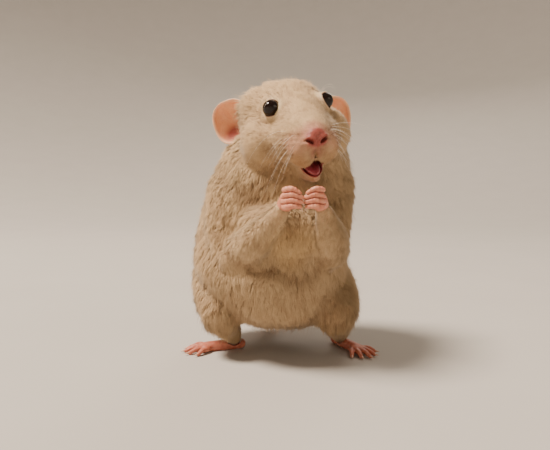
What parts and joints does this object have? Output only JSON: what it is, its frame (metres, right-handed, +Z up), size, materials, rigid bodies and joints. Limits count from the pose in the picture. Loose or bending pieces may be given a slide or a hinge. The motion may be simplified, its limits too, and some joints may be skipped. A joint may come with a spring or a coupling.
{
  "type": "pet rat, life-size still model",
  "caption": "Pet rat with low round ears, upright on its hind feet, paws together under its open mouth.",
  "frame": {"origin": "on the floor, under the middle of the animal's bounding box, tail included", "axes": "+Z up, the rat faces -Y and its tail runs back along +Y, +X to the rat's left"},
  "size_m": [0.0948, 0.2238, 0.1287],
  "materials": {
    "coat": "short plush beige fur",
    "bare_skin": "bare pink skin of ears, hands, feet and tail",
    "eye": "wet black",
    "tongue": "moist dark pink"
  },
  "bodies": {
    "root": {"belly": "coat", "chest": "coat", "neck": "coat", "rump": "coat", "head": "coat", "lower_jaw": "coat", "tongue": "tongue", "eye_left": "eye", "eye_right": "eye", "ear_left": "bare_skin", "ear_right": "bare_skin", "upper_arm_left": "coat", "upper_arm_right": "coat", "forearm_left": "coat", "forearm_right": "coat", "hand_left": "bare_skin", "hand_right": "bare_skin", "thigh_left": "coat", "thigh_right": "coat", "shank_left": "coat", "shank_right": "coat", "foot_left": "bare_skin", "foot_right": "bare_skin", "tail_1": "bare_skin", "tail_2": "bare_skin", "tail_3": "bare_skin", "tail_4": "bare_skin"}
  },
  "joints": []
}
